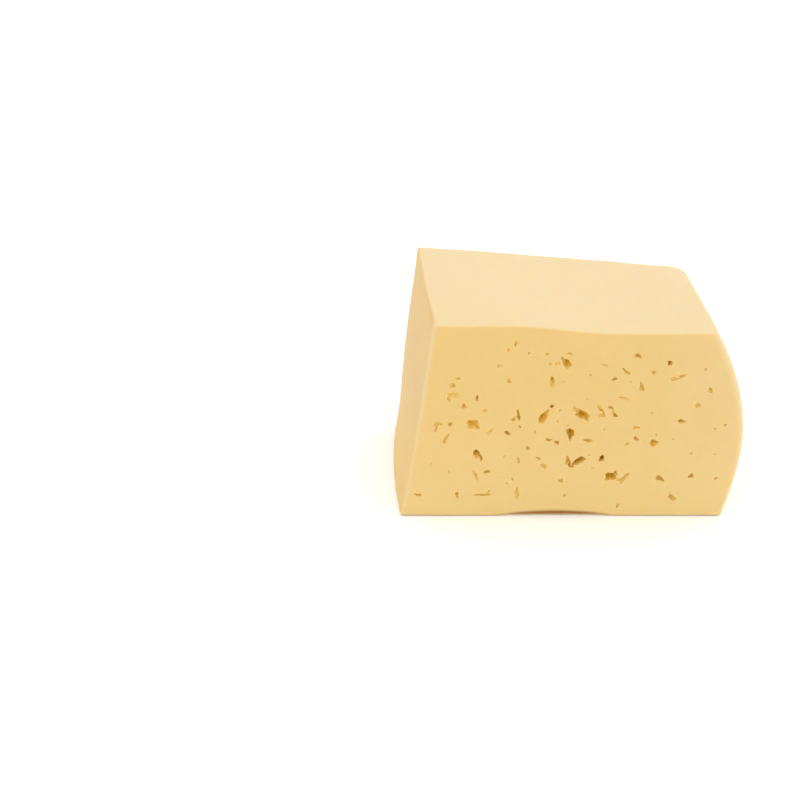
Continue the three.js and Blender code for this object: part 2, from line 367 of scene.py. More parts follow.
# Eyes that mark the front cut: across, up, length, width, tilt, depth, corners
LANDMARK_EYES = (
    # upper left and left
    (46.8, 79.6, 1.8, 1.5, 70, 0.9, 0), (44, 77, 1.9, 1.3, 80, 0.9, 0), (40.3, 69.7, 2.2, 1.7, 0, 0.9, 0),
    (44.4, 63, 2.5, 1.6, 80, 1.3, 0), (23.4, 64, 1.9, 1.6, 60, 0.9, 0), (21.3, 61, 2.6, 2.1, 20, 1.5, 4),
    (21.8, 56.4, 4.8, 2.4, 5, 1.5, 4), (20, 55, 3, 1.2, -80, 1.1, 3), (26.1, 51.3, 1.9, 1.8, 45, 2, 0),
    (31.4, 55, 2.3, 1.3, 75, 2, 3), (34.7, 49.5, 2.1, 1.5, -20, 0.9, 0),
    (15.7, 43.3, 3.8, 1.4, -10, 1.4, 3), (14.9, 41.3, 3.2, 1.1, -95, 1, 3),
    (20.7, 43.1, 2, 1.6, 60, 1.6, 0), (30.2, 42.8, 5, 4.4, 5, 3.2, 4), (18.7, 36.3, 4.8, 1.6, 58, 1.3, 3),
    (31.8, 29, 4, 3.3, 95, 3.6, 3), (33.5, 27.6, 2.8, 1.4, -65, 2.2, 3),
    (44.2, 39.1, 2.3, 1.9, -10, 2.6, 0), (37, 39.6, 3.6, 1.8, 40, 0.8, 3),
    # middle, above
    (67.4, 70.9, 6.2, 2.8, 128, 3.6, 3), (64, 70.9, 2.4, 2, 180, 0.9, 3), (62, 62.3, 4.6, 2, 88, 2.1, 3),
    (68.8, 75.3, 2.1, 1.5, 15, 0.9, 0), (59.8, 75, 2.2, 1.4, 0, 0.8, 0), (59.1, 46.5, 6, 3, 66, 3.4, 3),
    (62.3, 51.4, 2.1, 1.8, 20, 2.1, 0), (75.3, 47.3, 6.8, 3.4, -32, 3.6, 4),
    (72.5, 49.7, 4.2, 1.5, 132, 1.6, 3), (82, 50.6, 4.2, 1.6, -62, 1.3, 3),
    (82.7, 47.3, 3, 2.1, 10, 1.3, 4), (86.4, 50.6, 2.4, 1.9, -40, 2.2, 3),
    (87.5, 48.8, 3.6, 1.4, -60, 1.4, 3), (88.4, 47.3, 2.3, 1.8, -30, 2.7, 0),
    # middle, below
    (46.6, 45.4, 2.1, 1.7, 30, 1.9, 3), (48.7, 47.3, 4.8, 1.5, 100, 2, 3),
    (52.8, 32.2, 2.2, 1.8, 10, 1.4, 0), (61.3, 35.9, 2.8, 1.6, -20, 2, 3),
    (64.7, 34.7, 2.2, 1.9, 60, 2.2, 4), (70.2, 39.4, 3.6, 3.6, -90, 4, 3),
    (70.2, 37.3, 3.6, 1.4, -88, 3, 3), (77.7, 35.7, 3.6, 1.4, 166, 2, 3), (74.1, 26, 5.8, 2.8, 40, 5, 4),
    (69.7, 26.1, 4, 1.6, 98, 2.4, 3), (70.8, 23.8, 2.6, 1.5, -35, 2.6, 3),
    (83.7, 27.3, 3.1, 1.9, 86, 4.2, 4), (87.6, 18.7, 5.6, 3, 2, 4, 4), (89.6, 20.4, 2.4, 1.2, 85, 2.4, 3),
    (91, 17.6, 2.6, 1.5, -5, 1.2, 3), (93.4, 18, 5.2, 1.6, 60, 1.7, 3), (57.2, 27.4, 2.2, 1.6, 0, 1.4, 0),
    (59.7, 23.4, 2.8, 1.8, -50, 1.5, 0), (49.2, 26.4, 2.6, 1.3, 85, 0.9, 0),
    (36.2, 21, 2.2, 1.9, 30, 2.1, 0), (31.4, 19.4, 4.8, 1.5, -64, 1.1, 3),
    (48.7, 10.7, 5.4, 1.7, 82, 1.4, 3), (34.4, 10.2, 7, 1, 184, 1.3, 3), (36.8, 11.2, 2.2, 1.1, 70, 1.2, 3),
    (23.7, 10.2, 2.7, 2, -70, 2.1, 3), (7.7, 10.1, 2.8, 1.6, 155, 1.5, 3),
    (67.2, 16.7, 2.1, 1.6, 60, 1.5, 0),
    # right
    (96.5, 74, 2.8, 1.8, -5, 1.9, 3), (109.4, 70.9, 2.3, 2, 10, 2.8, 4),
    (103.3, 66.6, 2.1, 1.5, -60, 1.5, 0), (111.8, 63.9, 3, 1.4, -5, 1.2, 3),
    (115, 65.2, 3.8, 1.2, 20, 1.4, 3), (91.9, 67, 3.8, 1.6, 146, 1.5, 3),
    (87.5, 63.7, 2.1, 1.6, -15, 1.6, 0), (83.3, 70.2, 2.3, 1.4, -10, 0.8, 0),
    (98.5, 60.2, 4.9, 1.5, 100, 1.6, 3), (91.8, 55, 4, 1.2, -12, 0.9, 3), (126.6, 58.7, 2.8, 2, 95, 1.6, 0),
    (121.9, 51.9, 2.4, 2, 80, 1.6, 0), (116, 44.4, 3.4, 1.8, -4, 2.8, 3), (97.1, 41.5, 3.4, 0.9, 0, 1.1, 3),
    (97.5, 36.3, 2.1, 1.6, -20, 2.1, 3), (105, 34.3, 3.4, 2.8, -105, 3, 3),
    (108.1, 17.9, 3.8, 1.9, -34, 2.6, 3), (121.1, 19, 2.1, 2, -30, 2.4, 3), (113.6, 9, 4, 2, -36, 2, 4),
    (91.2, 5.2, 1.9, 1.4, 80, 1, 0),
)


@dataclass(frozen=True)
class EyeField:
    """The eyes of both cut faces, in millimetres: those that mark the front, and those drawn by seed."""

    form: BlockForm
    seed: int = 4177
    pit_count: int = 30
    pit_size: tuple[float, float] = (0.9, 1.7)
    back_groups: tuple[tuple[int, tuple[float, float]], ...] = (
        (9, (3.4, 5.8)), (22, (1.8, 3.0)), (16, (1.0, 1.7)))  # how many, and the shortest and longest of them
    width_share: tuple[float, float] = (0.45, 0.9)  # of the length
    depth_share: tuple[float, float] = (0.5, 1.2)  # of the width
    face_margin: float = 5.0
    top_margin: float = 9.0
    eye_gap: float = 1.2
    crowd_height: float = 38.0  # where the eyes crowd, around the middle of the face
    crowd_spread: tuple[float, float] = (46.0, 27.0)
    least_crowding: float = 0.25  # chance of an eye far from there
    lobe_count: int = 3

    def scatter(self, count: int, sizes: tuple[float, float], taken: list[Eye], cut: Cut,
                draws: Iterator[float]) -> None:
        """Adds eyes of one size range to a cut face, clear of its edges and of the eyes already there.

        Args:
            count: how many to add.
            sizes: the shortest and the longest.
            taken: the eyes already on that face, which the new ones join.
            cut: the face.
            draws: the seeded draws.
        """
        wanted = len(taken) + count
        back_share = 0.0 if cut is Cut.FRONT else 1.0
        while len(taken) < wanted:
            up = mix(self.face_margin, self.form.height - self.top_margin, next(draws))
            left = self.form.left_end(up / self.form.height, back_share) + self.face_margin
            right = self.form.right_end(up / self.form.height, back_share) - self.face_margin
            right -= self.form.back_right[0] * back_share
            across = mix(left, right, next(draws))
            length = mix(*sizes, next(draws) ** 2)
            width = length * mix(*self.width_share, next(draws))
            corners = 3 + math.floor(next(draws) * 2) if length > self.pit_size[1] else 0
            tilt = next(draws) * 180
            eye = Eye(across, up, length, width, tilt, width * mix(*self.depth_share, next(draws)), corners)
            sideways = (across - (left + right) / 2) / self.crowd_spread[0]
            upwards = (up - self.crowd_height) / self.crowd_spread[1]
            crowding = mix(self.least_crowding, 1.0, math.exp(-(sideways**2) - upwards**2))
            if next(draws) < crowding and all(eye.clear_of(other, self.eye_gap) for other in taken):
                taken.append(eye)

    def lay_out(self) -> list[tuple[Cut, Eye]]:
        """Draws the eyes of both faces.

        Returns:
            Every eye with the face that it opens in.
        """
        draws = seeded_draws(self.seed)
        faces: dict[Cut, list[Eye]] = {Cut.FRONT: [Eye(*row) for row in LANDMARK_EYES], Cut.BACK: []}
        self.scatter(self.pit_count, self.pit_size, faces[Cut.FRONT], Cut.FRONT, draws)
        for count, sizes in self.back_groups:
            self.scatter(count, sizes, faces[Cut.BACK], Cut.BACK, draws)
        placed = [(cut, eye) for cut, eyes in faces.items() for eye in eyes]
        return [(cut, replace(eye, lobe=math.floor(next(draws) * self.lobe_count))) for cut, eye in placed]


@dataclass(frozen=True)
class EyeForms:
    """The few forms of eye that are repeated: unit plugs with a softly rounded mouth and an uneven bowl.

    A unit plug is 2 wide both ways and 1 deep, so that an eye's own length, width and depth scale it.
    """

    corner_kinds: tuple[int, ...] = (0, 3, 4)
    lobes: tuple[float, ...] = (0.4, 2.5, 4.6)  # phases of the outline's swell and the floor's drift
    lobe_swell: tuple[float, float] = (0.13, 0.08)
    corner_reach: float = 1.2  # of the corners, and then of the middle of the walls, in half sizes of the eye
    flank_reach: float = 0.9
    floor_drift: float = 0.3  # sideways shift of the floor
    mouth_flare: float = 0.2  # radius of the rounded mouth
    mouth_drop: float = 0.16  # share of the depth that the rounded mouth takes
    proud: float = 0.03  # share of the depth that the plug stands proud of the face
    bowl_curve: tuple[float, float] = (2.2, 0.6)  # how steep the walls and how blunt the floor
    bowl_shares: tuple[float, ...] = (0.25, 0.45, 0.62, 0.77, 0.89, 0.97)  # rings below the mouth
    flare_angles: tuple[float, ...] = (72, 40, 12)  # rings around the mouth, in degrees
    ruffled_from: float = 0.6  # share of the depth from which the walls are ruffled in full
    round_sides: int = 16
    sides_per_corner: int = 7
    widest: float = 1.75  # furthest that a mouth reaches on the face, in half sizes of the eye

    def reach(self, angle: float, corners: int, lobe: float) -> float:
        """Gives how far an eye's wall lies from its middle: pointed at each corner, hollow between them.

        Args:
            angle: direction from the middle, in radians.
            corners: how many corners the eye has.
            lobe: phase of the outline's swell, in radians.

        Returns:
            The distance, in half sizes of the eye.
        """
        twofold, threefold = self.lobe_swell
        uneven = 1 + twofold * math.sin(2 * angle + lobe) + threefold * math.sin(3 * angle - lobe)
        if not corners:
            return uneven
        turn = math.pi / 4 if corners == 4 else 0.0
        place = (angle - turn) * corners / math.tau
        from_corner = 2 * abs(place - round(place))
        return uneven * mix(self.corner_reach, self.flank_reach, math.sin(from_corner * math.pi / 2))

    def rings(self) -> list[tuple[float, float]]:
        """Lays out the rings of a plug from its mouth to near its floor.

        Returns:
            For each ring its place along the depth, 0 at the face and 1 at the floor, and its width share.
        """
        wide = 1 + self.mouth_flare
        laid = [(-self.proud, wide + self.mouth_flare)]
        for angle in map(math.radians, self.flare_angles):
            laid.append((self.mouth_drop * (1 - math.sin(angle)), wide - self.mouth_flare * math.cos(angle)))
        steep, blunt = self.bowl_curve
        return laid + [(mix(self.mouth_drop, 1, s), (1 - s**steep) ** blunt) for s in self.bowl_shares]

    def build(self, corners: int, lobe: float) -> bpy.types.Mesh:
        """Builds one unit plug, with its mouth towards +Z and its length along X.

        Args:
            corners: how many corners it has.
            lobe: phase of its outline's swell, and the way its floor drifts, in radians.

        Returns:
            A closed mesh that marks its faces as eye wall.
        """
        sides = corners * self.sides_per_corner or self.round_sides
        points = []
        for along, width in self.rings():
            drift = self.floor_drift * max(0.0, along)
            for turn in (math.tau * n / sides for n in range(sides)):
                wall = width * self.reach(turn, corners, lobe)
                points.append((wall * math.cos(turn) + drift * math.cos(lobe),
                               wall * math.sin(turn) + drift * math.sin(lobe), -along))
        last = len(points) - sides
        quads = [(ring + n, ring + sides + n, ring + sides + (n + 1) % sides, ring + (n + 1) % sides)
                 for ring in range(0, last, sides) for n in range(sides)]
        floor = len(points)
        points.append((self.floor_drift * math.cos(lobe), self.floor_drift * math.sin(lobe), -1.0))
        fan = [(last + n, floor, last + (n + 1) % sides) for n in range(sides)]
        mesh = bpy.data.meshes.new(f"eye_{corners}_{round(math.degrees(lobe))}")
        mesh.from_pydata(points, [], [tuple(range(sides)), *quads, *fan])
        walls = mesh.attributes.new("eye_wall", "BOOLEAN", "FACE")
        walls.data.foreach_set("value", [True] * len(mesh.polygons))
        inside = [smooth(-z, self.mouth_drop, self.ruffled_from) for _, _, z in points]
        mesh.attributes.new("inside", "FLOAT", "POINT").data.foreach_set("value", inside)
        return mesh


@dataclass
class EyeCutter:
    """Geometry Nodes that set the eye forms on the cut faces, ruffle them and cut them out of the paste."""

    forms: EyeForms = field(default_factory=EyeForms)
    ruffle: float = 1.0  # mm, the most that an outline wanders
    ruffle_length: float = 1.6  # mm
    wall_ruffle: float = 0.9  # mm, the most that the walls wander besides
    wall_ruffle_length: float = 1.6  # mm
    full_ruffle: float = 1.6  # mm, the width from which an eye is ruffled in full; narrower ones are less
    seed: float = 17.0

    def sort_layers(self, placed: list[tuple[Cut, Eye]]) -> list[int]:
        """Shares the eyes out so that no two of one layer run together, because one layer is cut as one mesh.

        Args:
            placed: every eye with its face.

        Returns:
            Each eye's layer.
        """
        layers: list[int] = []
        for number, (cut, eye) in enumerate(placed):
            near = {layers[n] for n, (face, other) in enumerate(placed[:number])
                    if face is cut and not eye.clear_of(other, self.ruffle, self.forms.widest)}
            layers.append(min(set(range(len(near) + 1)) - near))
        return layers

    def points(self, placed: list[tuple[Cut, Eye]], form: BlockForm, shift: Vector) -> bpy.types.Object:
        """Makes the points that the eyes stand on, each with its form, turn, size and layer.

        Args:
            placed: every eye with its face.
            form: the block's outline.
            shift: the place of the block's corner in the frame, in millimetres.

        Returns:
            The object that holds the points.
        """
        spots, turns, sizes, kinds = [], [], [], []
        for cut, eye in placed:
            face = 0.0 if cut is Cut.FRONT else form.back_face(eye.across)
            spots.append((Vector((eye.across, face, eye.up)) + shift) * MM)
            lean = math.radians(eye.tilt)
            if cut is Cut.FRONT:
                turns += (math.pi / 2, -lean, 0.0)
            else:
                turns += (math.pi / 2, math.pi + lean, math.pi - math.atan(form.back_slant))
            sizes += (eye.length / 2 * MM, eye.width / 2 * MM, eye.depth * MM)
            kinds.append(self.forms.corner_kinds.index(eye.corners) * len(self.forms.lobes) + eye.lobe)
        mesh = bpy.data.meshes.new("eye_points")
        mesh.from_pydata(spots, [], [])
        mesh.attributes.new("turn", "FLOAT_VECTOR", "POINT").data.foreach_set("vector", turns)
        mesh.attributes.new("size", "FLOAT_VECTOR", "POINT").data.foreach_set("vector", sizes)
        mesh.attributes.new("kind", "INT", "POINT").data.foreach_set("value", kinds)
        mesh.attributes.new("layer", "INT", "POINT").data.foreach_set("value", self.sort_layers(placed))
        made = bpy.data.objects.new("eye_points", mesh)
        bpy.context.scene.collection.objects.link(made)
        return made

    def shelf(self) -> bpy.types.Collection:
        """Builds one plug of every form, in a collection out of sight.

        Returns:
            The collection, in the order that the points count in.
        """
        kept = bpy.data.collections.new("eye_forms")
        for corners in self.forms.corner_kinds:
            for number, lobe in enumerate(self.forms.lobes):
                form = self.forms.build(corners, lobe)
                kept.objects.link(bpy.data.objects.new(f"eye_form_{corners}_{number}", form))
        return kept

    def tree(self, layers: int) -> bpy.types.NodeTree:
        """Builds the node tree.

        Args:
            layers: how many layers of eyes are cut.

        Returns:
            The tree, with named inputs for the points, the forms, the ruffles and the paste.
        """
        tree = bpy.data.node_groups.new("cut_eyes", "GeometryNodeTree")
        tree.interface.new_socket("Geometry", in_out="OUTPUT", socket_type="NodeSocketGeometry")
        for name, kind in (("Geometry", "Geometry"), ("Points", "Object"), ("Forms", "Collection"),
                           ("Ruffle", "Float"), ("Ruffle length", "Float"), ("Wall ruffle", "Float"),
                           ("Wall ruffle length", "Float"), ("Full ruffle", "Float"), ("Seed", "Float"),
                           ("Paste", "Material")):
            tree.interface.new_socket(name, in_out="INPUT", socket_type="NodeSocket" + kind)
        given = add_node(tree, "NodeGroupInput").outputs
        points = add_node(tree, "GeometryNodeObjectInfo", {"Object": given["Points"]})
        forms = add_node(tree, "GeometryNodeCollectionInfo",
                         {"Collection": given["Forms"], "Separate Children": True, "Reset Children": True})
        kind = add_node(tree, "GeometryNodeInputNamedAttribute", {"Name": "kind"}, data_type="INT")
        turn = add_node(tree, "GeometryNodeInputNamedAttribute", {"Name": "turn"}, data_type="FLOAT_VECTOR")
        size = add_node(tree, "GeometryNodeInputNamedAttribute", {"Name": "size"}, data_type="FLOAT_VECTOR")
        layer = add_node(tree, "GeometryNodeInputNamedAttribute", {"Name": "layer"}, data_type="INT")
        stood = add_node(tree, "GeometryNodeInstanceOnPoints", {
            "Points": points.outputs["Geometry"], "Instance": forms.outputs[0], "Pick Instance": True,
            "Instance Index": kind.outputs["Attribute"], "Rotation": turn.outputs["Attribute"],
            "Scale": size.outputs["Attribute"]})
        plugs = add_node(tree, "GeometryNodeRealizeInstances", {"Geometry": stood.outputs[0]})
        ruffled = self.ruffle_walls(tree, plugs.outputs[0], given)
        picked = []
        for number in range(layers):
            same = add_node(tree, "FunctionNodeCompare", {2: layer.outputs["Attribute"], 3: number},
                            data_type="INT", operation="EQUAL")
            picked.append(add_node(tree, "GeometryNodeSeparateGeometry",
                                   {"Geometry": ruffled, "Selection": same.outputs[0]}).outputs[0])
        cut = add_node(tree, "GeometryNodeMeshBoolean", {"Mesh 1": given["Geometry"], "Mesh 2": picked},
                       operation="DIFFERENCE", solver="MANIFOLD")
        whole = add_node(tree, "GeometryNodeRealizeInstances", {"Geometry": cut.outputs[0]})
        pasted = add_node(tree, "GeometryNodeSetMaterial",
                          {"Geometry": whole.outputs[0], "Material": given["Paste"]})
        add_node(tree, "NodeGroupOutput", {"Geometry": pasted.outputs[0]})
        return tree

    def ruffle_walls(self, tree: bpy.types.NodeTree, plugs: bpy.types.NodeSocket,
                     given: bpy.types.bpy_prop_collection) -> bpy.types.NodeSocket:
        """Ruffles the plugs along the cut face by one noise, and their walls by another the deeper they go.

        Args:
            tree: the node tree.
            plugs: the realized plugs.
            given: the tree's inputs.

        Returns:
            The ruffled plugs.
        """
        place = add_node(tree, "GeometryNodeInputPosition").outputs[0]
        along_face = (1, 0, 1)
        flat = add_node(tree, "ShaderNodeVectorMath", {
            0: place, 1: along_face}, operation="MULTIPLY").outputs[0]
        inside = add_node(tree, "GeometryNodeInputNamedAttribute", {"Name": "inside"}, data_type="FLOAT")
        size = add_node(tree, "GeometryNodeInputNamedAttribute", {"Name": "size"}, data_type="FLOAT_VECTOR")
        half_width = add_node(tree, "ShaderNodeSeparateXYZ", {0: size.outputs["Attribute"]}).outputs["Y"]
        full = add_node(tree, "ShaderNodeMath", {0: given["Full ruffle"], 1: MM / 2}, operation="MULTIPLY")
        boldness = add_node(tree, "ShaderNodeMapRange", {0: half_width, 2: full.outputs[0]}).outputs[0]
        moved = plugs
        for name, where, share in (("Ruffle", flat, along_face),
                                   ("Wall ruffle", place, inside.outputs["Attribute"])):
            scale = add_node(tree, "ShaderNodeMath", {
                0: 1 / MM, 1: given[name + " length"]}, operation="DIVIDE")
            cloud = add_node(tree, "ShaderNodeTexNoise", {
                "Vector": where, "W": given["Seed"], "Scale": scale.outputs[0], "Detail": 1.0},
                noise_dimensions="4D")
            swing = add_node(tree, "ShaderNodeVectorMath", {
                0: cloud.outputs["Color"], 1: (0.5, 0.5, 0.5)}, operation="SUBTRACT")
            widest = add_node(tree, "ShaderNodeMath", {0: given[name], 1: 2 * MM}, operation="MULTIPLY")
            reach = add_node(tree, "ShaderNodeMath", {
                0: widest.outputs[0], 1: boldness}, operation="MULTIPLY")
            kept = add_node(tree, "ShaderNodeVectorMath", {
                0: swing.outputs[0], 1: share}, operation="MULTIPLY")
            offset = add_node(tree, "ShaderNodeVectorMath", {
                0: kept.outputs[0], "Scale": reach.outputs[0]}, operation="SCALE")
            shifted = add_node(tree, "GeometryNodeSetPosition", {
                "Geometry": moved, "Offset": offset.outputs[0]})
            moved = shifted.outputs[0]
        return moved


@dataclass(frozen=True)
class CheesePaste:
    """Semi-hard cheese cut with a long blade: fatty, matt and slightly translucent.

    The cut face is a warm pale yellow with faint drag lines, made paler towards the foot by painted light
    against the shade near the table. The outside is drier and paler and the edges are paler, while the left
    side is darker with painted shade. The eyes turn to a deep golden brown by painted bounce light and
    painted shade, for the light in them that has passed through the paste. The recess at the foot and the
    lower edges take painted shade. Lengths are in millimetres.
    """

    cut_left: int = 0xE3C281
    cut_middle: int = 0xE1C383
    cut_right: int = 0xE1C68F
    # painted light: the cut paste grows paler towards the foot, against the shade near the table
    cut_lit_foot: int = 0xE3C889
    outside: int = 0xE0C89B
    # painted shade: the left side, turned from the lamps, is darker than the outside
    left_side: int = 0xD6B177
    # painted light: the left side grows paler towards its foot
    left_lit_foot: int = 0xDDB974
    edge: int = 0xE2CE9F
    # painted bounce light and painted shade in the eyes: golden where shallow, brown where deepest
    shallow_eye_bounce: int = 0xEFD07A
    deep_eye_bounce: int = 0xE8BE44
    deepest_eye_shade: int = 0xB87616
    # painted shade under the lip of the recess and along the lower edges
    shade_under_lip: int = 0x9B6E38
    cloud_tint: int = 0xDCBD7A
    tint_ends: tuple[float, float] = (-60.0, 70.0)  # across, where the left and the right tint are full
    middle_spot: float = 0.7  # share of the way between them where the middle tint is
    foot_reach: float = 50.0  # up from the foot, as far as painted light makes the paste paler against the shade near the table
    cloud_length: float = 16.0  # soft clouds of fat and moisture
    cloud_range: tuple[float, float] = (0.35, 0.75)  # of the noise, from clear to clouded
    cloud_strength: float = 0.45
    edge_strength: float = 0.7
    shallow_range: tuple[float, float] = (0.05, 0.8)  # below the cut, where an eye tint of painted bounce light and shade starts and is full
    deep_range: tuple[float, float] = (1.4, 3.3)
    deepest_range: tuple[float, float] = (3.0, 4.6)
    grain_length: float = 0.7  # coarser than real curd grain, so that it shows
    grain_relief: float = 0.035
    pore_spacing: float = 2.6
    pore_rim: tuple[float, float] = (0.04, 0.16)  # share of the spacing, from a pore's floor to its rim
    pore_relief: float = 0.06
    drag_height: float = 0.8  # between the lines that the blade leaves
    drag_length: float = 34.0  # along them
    drag_relief: float = 0.05
    film_length: float = 9.0  # patches where the surface is more or less fatty
    roughness: float = 0.6
    roughness_swing: float = 0.08
    refraction: float = 1.45
    gloss: float = 0.12
    scatter_share: float = 0.7
    scatter_reach: tuple[float, float, float] = (1.0, 0.5, 0.2)  # of red, green and blue light
    light_depth: float = 1.6  # that red light travels in the paste

    def length_scale(self, millimetres: float) -> float:
        """Turns a pattern's size into a texture's scale per metre."""
        return 1 / (millimetres * MM)

    def build(self) -> bpy.types.Material:
        """Builds the node material.

        Returns:
            The material.
        """
        made = bpy.data.materials.new("semi_hard_cheese_paste")
        made.use_nodes = True
        tree = made.node_tree
        tree.nodes.clear()
        place = add_node(tree, "ShaderNodeTexCoord").outputs["Object"]
        marks = {mark: add_node(tree, "ShaderNodeAttribute", attribute_name=mark.value).outputs["Fac"]
                 for mark in Mark}
        shader = add_node(tree, "ShaderNodeBsdfPrincipled", {
            "Base Color": self.colour(tree, place, marks), "Normal": self.relief(tree, place, marks),
            "Roughness": self.sheen(tree, place), "IOR": self.refraction, "Specular IOR Level": self.gloss,
            "Subsurface Weight": self.scatter_share, "Subsurface Radius": self.scatter_reach,
            "Subsurface Scale": self.light_depth * MM}, subsurface_method="RANDOM_WALK")
        add_node(tree, "ShaderNodeOutputMaterial", {"Surface": shader.outputs[0]})
        return made

    def colour(self, tree: bpy.types.NodeTree, place: bpy.types.NodeSocket,
               marks: dict[Mark, bpy.types.NodeSocket]) -> bpy.types.NodeSocket:
        """Builds the colour: cut paste, drier outside, pale edges, painted light towards the foot, painted
        shade on the left side and under the lip, and painted bounce light and shade in the eyes.

        Args:
            tree: the shader tree.
            place: Object coordinates.
            marks: the mesh's marks.

        Returns:
            The colour output.
        """
        axes = add_node(tree, "ShaderNodeSeparateXYZ", {0: place}).outputs
        left, right = (end * MM for end in self.tint_ends)
        across = add_node(tree, "ShaderNodeMapRange", {0: axes["X"], 1: left, 2: right}).outputs[0]
        paste = add_node(tree, "ShaderNodeValToRGB", {0: across})
        tints = ((0.0, self.cut_left), (self.middle_spot, self.cut_middle), (1.0, self.cut_right))
        for number, (spot, code) in enumerate(tints):
            stops = paste.color_ramp.elements
            stop = stops[number] if number < 2 else stops.new(spot)
            stop.position, stop.color = spot, srgb(code)
        clouds = add_node(tree, "ShaderNodeTexNoise", {
            "Vector": place, "Scale": self.length_scale(self.cloud_length), "Detail": 4.0, "Roughness": 0.55})
        clear, clouded = self.cloud_range
        cloud_share = add_node(tree, "ShaderNodeMapRange", {
            0: clouds.outputs[0], 1: clear, 2: clouded, 4: self.cloud_strength}).outputs[0]
        # painted light: paler towards the foot
        foot_light_share = add_node(tree, "ShaderNodeMapRange", {
            0: axes["Z"], 1: self.foot_reach * MM, 2: 0.0}).outputs[0]
        # the same painted light on the left side
        foot_light_left_share = add_node(tree, "ShaderNodeMath", {
            0: marks[Mark.LEFT], 1: foot_light_share}, operation="MULTIPLY").outputs[0]
        outside_share = add_node(tree, "ShaderNodeMapRange", {0: marks[Mark.CUT], 3: 1.0, 4: 0.0}).outputs[0]
        edge_share = add_node(tree, "ShaderNodeMath", {
            0: marks[Mark.EDGE], 1: self.edge_strength}, operation="MULTIPLY").outputs[0]
        # the colour under the lip, led by the foot mark, is painted shade
        layers = [(cloud_share, self.cloud_tint), (foot_light_share, self.cut_lit_foot), (outside_share, self.outside),
                  (marks[Mark.LEFT], self.left_side), (foot_light_left_share, self.left_lit_foot),
                  (edge_share, self.edge), (marks[Mark.FOOT], self.shade_under_lip)]
        # painted bounce light and shade in the eyes, deepening with depth
        for (start, full), code in ((self.shallow_range, self.shallow_eye_bounce), (self.deep_range, self.deep_eye_bounce),
                                    (self.deepest_range, self.deepest_eye_shade)):
            below = add_node(tree, "ShaderNodeMapRange", {0: marks[Mark.DEPTH], 1: start, 2: full})
            layers.append((below.outputs[0], code))
        colour = paste.outputs[0]
        for share, code in layers:
            mixer = add_node(tree, "ShaderNodeMix", {0: share, 6: colour, 7: srgb(code)}, data_type="RGBA")
            colour = mixer.outputs[2]
        return colour

    def relief(self, tree: bpy.types.NodeTree, place: bpy.types.NodeSocket,
               marks: dict[Mark, bpy.types.NodeSocket]) -> bpy.types.NodeSocket:
        """Builds the fine relief: curd grain, small pores, and drag lines on the cut faces.

        Args:
            tree: the shader tree.
            place: Object coordinates.
            marks: the mesh's marks.

        Returns:
            The normal output.
        """
        grain = add_node(tree, "ShaderNodeTexNoise", {
            "Vector": place, "Scale": self.length_scale(self.grain_length), "Detail": 3.0, "Roughness": 0.6})
        cells = add_node(tree, "ShaderNodeTexVoronoi", {
            "Vector": place, "Scale": self.length_scale(self.pore_spacing)})
        floor, rim = self.pore_rim
        pores = add_node(tree, "ShaderNodeMapRange", {0: cells.outputs["Distance"], 1: floor, 2: rim})
        stretched = add_node(tree, "ShaderNodeMapping", {
            "Vector": place, "Scale": (self.drag_length, 1.0, self.drag_height)}, vector_type="TEXTURE")
        lines = add_node(tree, "ShaderNodeTexNoise", {
            "Vector": stretched.outputs[0], "Scale": self.length_scale(1.0), "Detail": 2.0, "Roughness": 0.5})
        on_cut = add_node(tree, "ShaderNodeMath", {
            0: lines.outputs[0], 1: marks[Mark.CUT]}, operation="MULTIPLY")
        normal = None
        for height, reach in ((on_cut, self.drag_relief), (pores, self.pore_relief),
                              (grain, self.grain_relief)):
            bump = add_node(tree, "ShaderNodeBump", {
                "Strength": 1.0, "Distance": reach * MM, "Height": height.outputs[0]})
            if normal is not None:
                tree.links.new(normal, bump.inputs["Normal"])
            normal = bump.outputs[0]
        return normal

    def sheen(self, tree: bpy.types.NodeTree, place: bpy.types.NodeSocket) -> bpy.types.NodeSocket:
        """Builds the roughness, which varies a little with the fat on the surface.

        Args:
            tree: the shader tree.
            place: Object coordinates.

        Returns:
            The roughness output.
        """
        film = add_node(tree, "ShaderNodeTexNoise", {
            "Vector": place, "Scale": self.length_scale(self.film_length), "Detail": 3.0})
        smoothest, roughest = self.roughness - self.roughness_swing, self.roughness + self.roughness_swing
        return add_node(tree, "ShaderNodeMapRange", {
            0: film.outputs[0], 3: smoothest, 4: roughest}).outputs[0]


